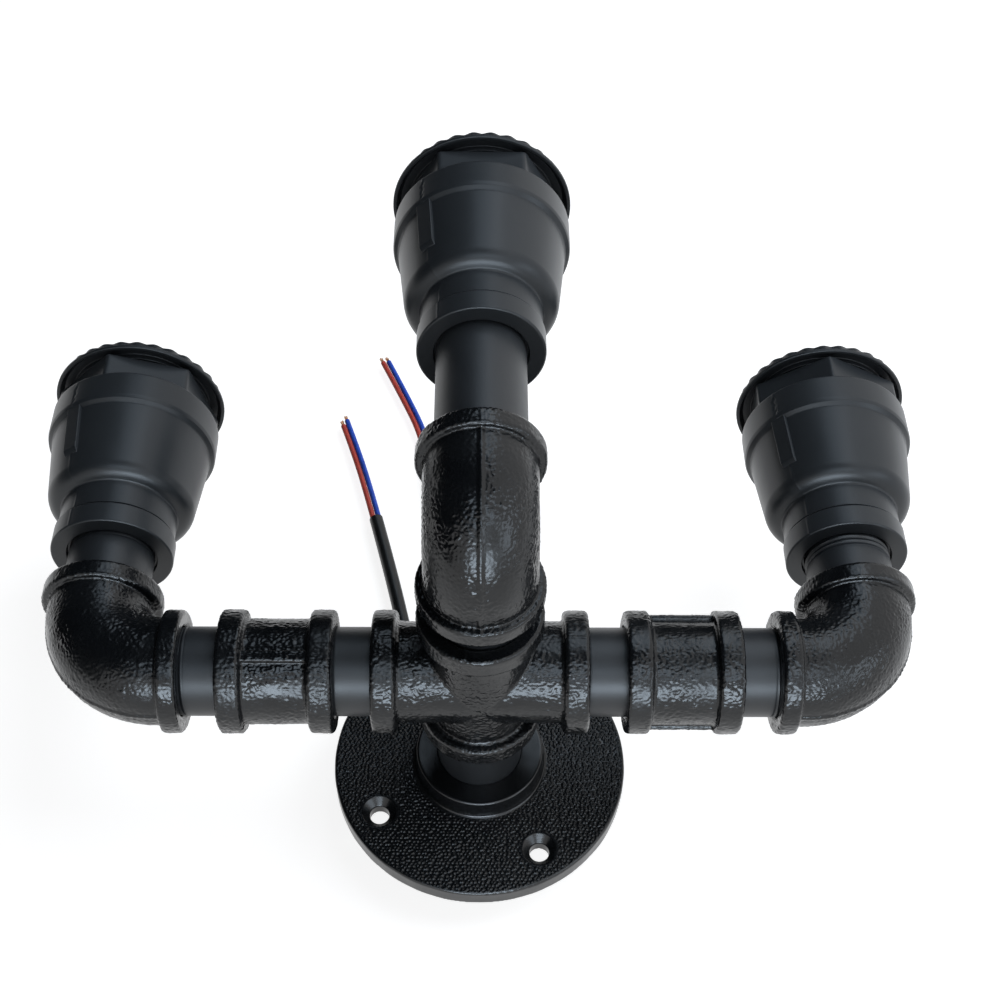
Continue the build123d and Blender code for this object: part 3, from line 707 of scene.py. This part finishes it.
def thread_cut(angle, z, low, high, gap):
    """Depth of the thread at a point of a nipple; low and high are the turns that show."""
    cut = 0.0
    groove = wave(tau * z / THREAD_PITCH - angle) ** THREAD_FLANK
    for turns, away in ((low, z), (high, gap - z)):
        if turns:
            cut += THREAD_HEIGHT * within(turns - away / THREAD_PITCH) * groove
    return cut


def pipe(node, spot, turn, gap, low, high):
    """A painted nipple along +Z whose bare part is gap long, with a few turns showing."""
    outer, inner = PIPE_OD / 2, PIPE_BORE / 2
    end, slope = NIPPLE_END, NIPPLE_CHAMFER
    steps = int(gap / PIPE_STEP)
    outline = [(inner, -end), (outer - slope, -end), (outer, -end + slope)]
    outline += [(outer, gap * i / steps) for i in range(steps + 1)]
    outline += [(outer, gap + end - slope), (outer - slope, gap + end), (inner, gap + end)]

    def skin(angle, r, z):
        bare = -THREAD_PITCH < z < gap + THREAD_PITCH
        return r - thread_cut(angle, z, low, high, gap) if bare else r

    mesh = lathe(outline, PIPE_SEGMENTS, skin)
    settle(mesh)
    place(mesh, spot, turn)
    show(f"pipe_{node}", mesh, "pipe_paint", nodes[node]["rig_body"], node)


for node, (spot, turn, gap, low, high) in NIPPLES.items():
    pipe(node, spot, turn, gap, low, high)
for lamp, (x, y, cup_z) in LAMPS.items():
    foot, gap = (x, y, ELBOW_REACH), cup_z - ELBOW_REACH
    pipe(f"{lamp}_riser", foot, UPRIGHT, gap, 0.0, RISER_TURNS[lamp])


# ---- lamp cups, heights from the collar's lower face -----------------------------------------
CUP_SEGMENTS = 480
CUP_TURNS = {"left": -34.0, "centre": -41.5, "right": -47.0}
BOWL_BOTTOM, BOWL_BOTTOM_R = 18.1, 23.3
BOWL_TOP_R = 26.2           # where its line meets the band
BAND_R = 27.7
BAND_BOTTOM, BAND_TOP = 44.5, 55.5
BAND_STEP = 0.6             # between the rings of the band's mesh
BAND_RINGS = 16
BUSH_THREAD_R = 23.5
CUP_BORE_R = 10.8
RISER_SOCKET_R = 13.45
CUP_SECTION = [             # radius, height, fillet
    # collar
    (14.2, 0, 0.25),
    (19.3, 0, 0.7),
    (19.3, 7.4, 0.5),
    # groove and neck
    (17.6, 7.4, 0.1),
    (17.6, 8.2, 0.1),
    (18.5, 8.2, 0.35),
    (18.5, 16.8, 0.9),
    # bowl
    (BOWL_BOTTOM_R, BOWL_BOTTOM, 5.4),
    (26.1, 43.4, 1.0),
    # band
    (BAND_R - 0.3, BAND_BOTTOM, 0.3),
    *[(BAND_R, BAND_BOTTOM + 1 + BAND_STEP * i, 0) for i in range(BAND_RINGS)],
    (BAND_R, BAND_TOP, 0.6),
    # mouth, down to the ledge under the bush
    (BUSH_THREAD_R, BAND_TOP, 0.3),
    (BUSH_THREAD_R, 42.5, 0),
    (21.4, 42.5, 0),
    # inside of the bowl and the floor
    (20.8, 22.0, 3.0),
    (15.5, 17.0, 3.0),
    (CUP_BORE_R, 17.0, 0),
    (CUP_BORE_R, 14.0, 0),
    # socket for the riser
    (RISER_SOCKET_R, 14.0, 0),
    (RISER_SOCKET_R, 1.6, 0),
    (14.2, 1.6, 0.3),
]
CUP_INSIDE_R = 16.0         # what lies nearer to the axis has no parting line
PARTING_HALF = 0.6          # half width of the cup's parting line
PARTING_HEIGHT = 0.09
FLASH_BOTTOM, FLASH_TOP = 46.0, 53.0    # torn flash on the band, above each rib
FLASH_HALF = 0.45
FLASH_DEPTH = 0.28
FLASH_WANDER = ((0.35, 2.3), (0.2, 5.1))    # mm aside, radians for each mm of height
RIB_HALF = 2.7              # half width
RIB_STAND = 1.0             # height above the bowl
RIB_ROOT = 0.6              # depth in the bowl's wall
RIB_BEVEL = 0.3
RIB_BOTTOM, RIB_FOOT, RIB_TOP = 26.2, 27.6, 45.0


def from_partings(angle):
    """The angles from the cup's two parting lines, at -Y and +Y."""
    return [(angle + pi / 2 + k * pi + pi) % tau - pi for k in (0, 1)]


def cup_skin(angle, r, z):
    """Radius of the cup's skin with its parting line and the torn flash above each rib."""
    if r < CUP_INSIDE_R:
        return r
    if not FLASH_BOTTOM < z < FLASH_TOP or r < BAND_R - 0.1:
        aside = min(abs(turn) for turn in from_partings(angle)) * r
        return r + PARTING_HEIGHT * max(0.0, 1 - aside / PARTING_HALF)
    wander = sum(reach * sin(rate * z) for reach, rate in FLASH_WANDER)
    aside = min(abs(turn * r - wander) for turn in from_partings(angle))
    return r - FLASH_DEPTH * max(0.0, 1 - aside / FLASH_HALF)


def bowl_radius(z):
    """Outer radius of the tapering bowl at a height."""
    share = (z - BOWL_BOTTOM) / (BAND_BOTTOM - BOWL_BOTTOM)
    return BOWL_BOTTOM_R + (BOWL_TOP_R - BOWL_BOTTOM_R) * share


def add_rib(work, facing):
    """A bevelled rib down the bowl, towards -Y or +Y, added to the cup's mesh."""
    side = [
        (bowl_radius(RIB_BOTTOM) - RIB_ROOT, RIB_BOTTOM),
        (bowl_radius(RIB_BOTTOM), RIB_BOTTOM),
        (bowl_radius(RIB_FOOT) + RIB_STAND, RIB_FOOT),
        (bowl_radius(RIB_TOP) + RIB_STAND, RIB_TOP),
        (bowl_radius(RIB_TOP) - RIB_ROOT, RIB_TOP),
    ]
    rows = [[work.verts.new((x, facing * r, z)) for r, z in side] for x in (-RIB_HALF, RIB_HALF)]
    faces = [work.faces.new(rows[0]), work.faces.new(reversed(rows[1]))]
    for i in range(len(side)):
        j = (i + 1) % len(side)
        faces.append(work.faces.new((rows[0][j], rows[0][i], rows[1][i], rows[1][j])))
    edges = list({e for f in faces for e in f.edges})
    bmesh.ops.bevel(work, geom=edges, offset=RIB_BEVEL, segments=3, affect="EDGES", profile=0.5)


def cup(lamp, spot):
    """A moulded cup with its two ribs."""
    mesh = lathe(rounded(CUP_SECTION), CUP_SEGMENTS, cup_skin)
    work = bmesh.new()
    work.from_mesh(mesh)
    for facing in (-1, 1):
        add_rib(work, facing)
    work.to_mesh(mesh)
    work.free()
    settle(mesh)
    place(mesh, spot, turned(CUP_TURNS[lamp]))
    piece = show(f"{lamp}_cup", mesh, "cup_plastic", f"{lamp}_lamp", f"{lamp}_lamp_cup")
    even_shading(piece)


# ---- hexagonal bushes ------------------------------------------------------------------------
BUSH_SEGMENTS = 360
BUSH_R = 23.45              # its thread's outside, just inside the cup's
BUSH_BORE_R = 20.0
BUSH_BOTTOM = 45.5
HEX_TURNS = {"left": -14.0, "centre": 30.0, "right": -2.0}
HEX_HALF = 23.4             # centre to flat
HEX_TOP = 65.8
HEX_CHAMFER = 0.8
HEX_INSIDE_R = 22.0         # what lies nearer to the axis stays round
HEX_SHARPNESS = 80          # higher is a sharper corner
BUSH_SECTION = [            # radius, height, fillet
    (BUSH_BORE_R, BUSH_BOTTOM, 0),
    (BUSH_R, BUSH_BOTTOM, 0.4),
    (BUSH_R, BAND_TOP - 0.1, 0),
    (22.9, BAND_TOP + 0.05, 0),
    (HEX_HALF, BAND_TOP + 0.35, 0.2),
    (HEX_HALF, HEX_TOP - 0.7, 0.5),
    (HEX_HALF - HEX_CHAMFER, HEX_TOP, 0.3),
    (BUSH_BORE_R, HEX_TOP, 0.3),
]


def bush_skin(angle, r, z):
    """Radius of the bush: a hexagon with slightly rounded corners above the cup's mouth."""
    if r <= HEX_INSIDE_R or z <= BAND_TOP:
        return r
    total = sum(max(0.0, cos(angle - k * pi / 3)) ** HEX_SHARPNESS for k in range(6))
    return r / total ** (1 / HEX_SHARPNESS)


def bush(lamp, spot):
    """The bush in the cup's mouth with its hexagon."""
    mesh = lathe(rounded(BUSH_SECTION), BUSH_SEGMENTS, bush_skin)
    settle(mesh)
    place(mesh, spot, turned(HEX_TURNS[lamp]))
    piece = show(f"{lamp}_bush", mesh, "cup_plastic", f"{lamp}_lamp", f"{lamp}_hex_bush")
    even_shading(piece)


# ---- lock rings ------------------------------------------------------------------------------
RING_SEGMENTS = 480
RING_BOTTOM, RING_TOP = 66.0, 69.9
RING_THREAD_R = 19.9
RING_OPENING_R = 15.6
RING_FACE = 1.25            # thickness round the opening
RING_DISH = 0.5             # depth of the groove in its face
RING_FOOT_R = 23.3          # the ring's underside is hollow outside its foot
RING_HOLLOW = 2.0           # depth of this hollow
RING_LIP_R = 28.5
RING_LIP = 1.2              # height of the lip
GRIP_VALLEY_R = 27.2
GRIP_INSIDE_R = 26.2        # what lies nearer to the axis isn't waved
GRIP_BOTTOM = RING_BOTTOM + RING_LIP + 0.1
GRIP_WAVE = 0.7
GRIP_COUNT = 30
GRIP_SHAPE = 0.75           # lower is a broader crest
RING_SECTION = [            # radius, height, fillet
    # underside
    (RING_THREAD_R, RING_BOTTOM, 0.2),
    (RING_FOOT_R, RING_BOTTOM, 0.2),
    (RING_FOOT_R, RING_BOTTOM + RING_HOLLOW, 0.3),
    (RING_FOOT_R + 2.8, RING_BOTTOM + RING_HOLLOW, 0.3),
    (RING_LIP_R - 1.1, RING_BOTTOM, 0.15),
    # lip and grip
    (RING_LIP_R, RING_BOTTOM, 0.35),
    (RING_LIP_R, RING_BOTTOM + RING_LIP, 0.3),
    (GRIP_VALLEY_R, RING_BOTTOM + RING_LIP + 0.15, 0),
    (GRIP_VALLEY_R, RING_BOTTOM + RING_LIP + 0.45, 0),
    (GRIP_VALLEY_R - 0.5, RING_TOP, 0.6),
    # face
    (25.6, RING_TOP, 0.2),
    (25.2, RING_TOP - RING_DISH, 0.2),
    (17.6, RING_TOP - RING_DISH, 0.2),
    (17.2, RING_TOP, 0.2),
    (RING_OPENING_R, RING_TOP, 0.5),
    (RING_OPENING_R, RING_TOP - RING_FACE, 0.3),
    (RING_THREAD_R, RING_TOP - RING_FACE, 0),
]


def ring_skin(angle, r, z):
    """Radius of the ring with its waved grip."""
    if r < GRIP_INSIDE_R or z < GRIP_BOTTOM:
        return r
    return r + GRIP_WAVE * (0.5 + 0.5 * cos(GRIP_COUNT * angle)) ** GRIP_SHAPE


def ring(lamp, spot):
    """The scalloped lock ring, open at the top for the lamp."""
    mesh = lathe(rounded(RING_SECTION), RING_SEGMENTS, ring_skin)
    settle(mesh)
    place(mesh, spot)
    piece = show(f"{lamp}_ring_grip", mesh, "ring_plastic", f"{lamp}_ring", f"{lamp}_lock_ring")
    even_shading(piece)


# ---- screw shells ----------------------------------------------------------------------------
SHELL_SEGMENTS = 120
SHELL_BOTTOM, SHELL_NECK_TOP, SHELL_TOP = 36.0, 41.0, 60.0
SHELL_R, SHELL_NECK_R = 13.8, 13.0      # outsides
SHELL_EYE_R = 9.0           # hole in its floor, for the centre contact
SHELL_WALL = 0.4
SHELL_STEP = 0.25           # between the rings of its mesh
E27_PITCH = 3.629
E27_DEPTH = 1.05
E27_BOTTOM, E27_TOP = SHELL_NECK_TOP + 0.5, SHELL_TOP - 0.4
E27_FADE = 2.0              # height over which the thread starts and ends


def shell_skin(angle, r, z):
    """Radius of the shell with its rolled thread, between the neck and the mouth."""
    if not E27_BOTTOM < z < E27_TOP:
        return r
    ends = min(1.0, (z - E27_BOTTOM) / E27_FADE, (E27_TOP - z) / E27_FADE)
    return r - E27_DEPTH * wave(tau * z / E27_PITCH - angle) * ends


def shell(lamp, spot):
    """The brass shell that the lamp screws into."""
    inner, neck = SHELL_R - SHELL_WALL, SHELL_NECK_R - SHELL_WALL
    step_under, floor = SHELL_NECK_TOP - SHELL_WALL, SHELL_BOTTOM + SHELL_WALL
    count = int((E27_TOP - E27_BOTTOM) / SHELL_STEP) + 1
    heights = [E27_BOTTOM + SHELL_STEP * i for i in range(count)]
    outline = [(SHELL_EYE_R, SHELL_BOTTOM), (SHELL_NECK_R, SHELL_BOTTOM)]
    outline += [(SHELL_NECK_R, step_under), (SHELL_R, step_under)]
    outline += [(SHELL_R, z) for z in heights] + [(SHELL_R, SHELL_TOP), (inner, SHELL_TOP)]
    outline += [(inner, z) for z in reversed(heights)] + [(inner, SHELL_NECK_TOP)]
    outline += [(neck, SHELL_NECK_TOP), (neck, floor), (SHELL_EYE_R, floor)]
    mesh = lathe(outline, SHELL_SEGMENTS, shell_skin)
    settle(mesh)
    place(mesh, spot)
    show(f"{lamp}_shell", mesh, "brass", f"{lamp}_lamp", f"{lamp}_screw_shell")


for lamp, spot in LAMPS.items():
    cup(lamp, spot)
    bush(lamp, spot)
    ring(lamp, spot)
    shell(lamp, spot)


# ---- floor and light, in metres --------------------------------------------------------------
WORLD_TINT = rgb(0.93, 0.96, 1)
WORLD_STRENGTH = 0.4
FLOOR_PALE = 0.6            # what light falls on
FLOOR_GLOW = 0.86           # added for the camera and for reflections
FLOOR_Y = 0.0159            # just behind the leads
FLOOR_HALF = 2.5
CARD_BLACK = 0.02
CARDS = {                   # middle, width, height and the way the card faces
    "ceiling_card": ((-1.2, -1.5, 0.35), 3.0, 3.7, (0, 1, 0)),
    "far_card": ((-0.9, -0.75, 2.2), 3.6, 1.5, (0, 0, -1)),
    "left_card": ((-1.0, -0.8, 0.6), 1.7, 2.6, (1, 0, 0)),
}
LIGHT_AIM = (0, -0.0585, 0.03)          # what all the lights face
COOL, PALE = (0.72, 0.86, 1.0), (0.86, 0.93, 1.0)
MATT_LIGHT = "fill"         # the only one that lights matt surfaces; the others show in gloss
LIGHTS = {                  # direction, distance, width, height, watts, colour
    "window": ((0.02, -0.23, -0.97), 1.4, 0.9, 0.5, 16.0, COOL),
    "low": ((0.05, -0.82, -0.57), 1.4, 0.9, 0.5, 4.5, COOL),
    "strip": ((0.76, -0.38, -0.52), 1.4, 0.35, 0.9, 3.0, COOL),
    "sky": ((0.12, -0.87, 0.45), 1.4, 0.65, 0.9, 3.2, COOL),
    MATT_LIGHT: ((0.5, -0.83, 0.2), 1.0, 0.9, 0.8, 6.2, PALE),
}


def either(tree, first, second):
    """1 where either of two outputs is 1."""
    return add_node(tree, "ShaderNodeMath", {0: first, 1: second}, operation="MAXIMUM").outputs[0]


def camera_or_mirror(tree):
    """1 for what the camera sees, directly or in a reflection or through glass."""
    path = add_node(tree, "ShaderNodeLightPath").outputs
    seen = either(tree, path["Is Camera Ray"], path["Is Glossy Ray"])
    return either(tree, seen, path["Is Transmission Ray"])


def make_world():
    """A white surround for the camera and for reflections, and soft grey light on the object."""
    world = bpy.data.worlds.new("studio")
    bpy.context.scene.world = world
    world.use_nodes = True
    tree = world.node_tree
    tree.nodes.clear()
    white = add_node(tree, "ShaderNodeBackground", {"Color": rgb(1, 1, 1)}).outputs[0]
    inputs = {"Color": WORLD_TINT, "Strength": WORLD_STRENGTH}
    grey = add_node(tree, "ShaderNodeBackground", inputs).outputs[0]
    inputs = {0: camera_or_mirror(tree), 1: grey, 2: white}
    mix = add_node(tree, "ShaderNodeMixShader", inputs).outputs[0]
    add_node(tree, "ShaderNodeOutputWorld", {0: mix})


def sheet(name, corners):
    """A flat stage piece with a material of its own, still to be set."""
    mesh = bpy.data.meshes.new(name)
    mesh.from_pydata(corners, [], [(0, 1, 2, 3)])
    material = bpy.data.materials.new(name)
    material.use_nodes = True
    mesh.materials.append(material)
    return add_object(name, mesh), material.node_tree


def make_floor():
    """The white surface that the flange lies against; from behind it isn't there."""
    half, y = FLOOR_HALF, FLOOR_Y
    corners = [(-half, y, -half), (half, y, -half), (half, y, half), (-half, y, half)]
    floor, tree = sheet("floor", corners)
    tree.nodes.clear()
    inputs = {0: camera_or_mirror(tree), 1: FLOOR_GLOW}
    strength = add_node(tree, "ShaderNodeMath", inputs, operation="MULTIPLY").outputs[0]
    glow = add_node(tree, "ShaderNodeEmission", {"Strength": strength}).outputs[0]
    inputs = {"Color": rgb(FLOOR_PALE, FLOOR_PALE, FLOOR_PALE)}
    diffuse = add_node(tree, "ShaderNodeBsdfDiffuse", inputs).outputs[0]
    front = add_node(tree, "ShaderNodeAddShader", {0: diffuse, 1: glow}).outputs[0]
    clear = add_node(tree, "ShaderNodeBsdfTransparent").outputs[0]
    behind = add_node(tree, "ShaderNodeNewGeometry").outputs["Backfacing"]
    mix = add_node(tree, "ShaderNodeMixShader", {0: behind, 1: front, 2: clear}).outputs[0]
    add_node(tree, "ShaderNodeOutputMaterial", {0: mix})


def dark_card(name, middle, width, height, facing):
    """A dark card for the gloss to mirror; the camera doesn't see it and it casts no shadow."""
    x, y = width / 2, height / 2
    card, tree = sheet(name, [(-x, -y, 0), (x, -y, 0), (x, y, 0), (-x, y, 0)])
    card.location = middle
    card.rotation_euler = Vector(facing).to_track_quat("Z", "Y").to_euler()
    shader = tree.nodes["Principled BSDF"]
    shader.inputs["Base Color"].default_value = rgb(CARD_BLACK, CARD_BLACK, CARD_BLACK)
    shader.inputs["Roughness"].default_value = 1.0
    card.visible_camera = False
    card.visible_shadow = False


def area_light(name, direction, distance, width, height, power, colour):
    """A soft rectangular light, some way from the object in a direction, that faces it."""
    data = bpy.data.lights.new(name, "AREA")
    data.shape = "RECTANGLE"
    data.size, data.size_y = width, height
    data.energy = power
    data.color = colour
    light = add_object(name, data)
    towards = Vector(direction).normalized()
    light.location = Vector(LIGHT_AIM) + towards * distance
    light.rotation_euler = towards.to_track_quat("Z", "Y").to_euler()
    return light


make_world()
make_floor()
for name, (middle, width, height, facing) in CARDS.items():
    dark_card(name, middle, width, height, facing)
for name, settings in LIGHTS.items():
    light = area_light(name, *settings)
    light.visible_diffuse = name == MATT_LIGHT
    light.visible_glossy = name != MATT_LIGHT
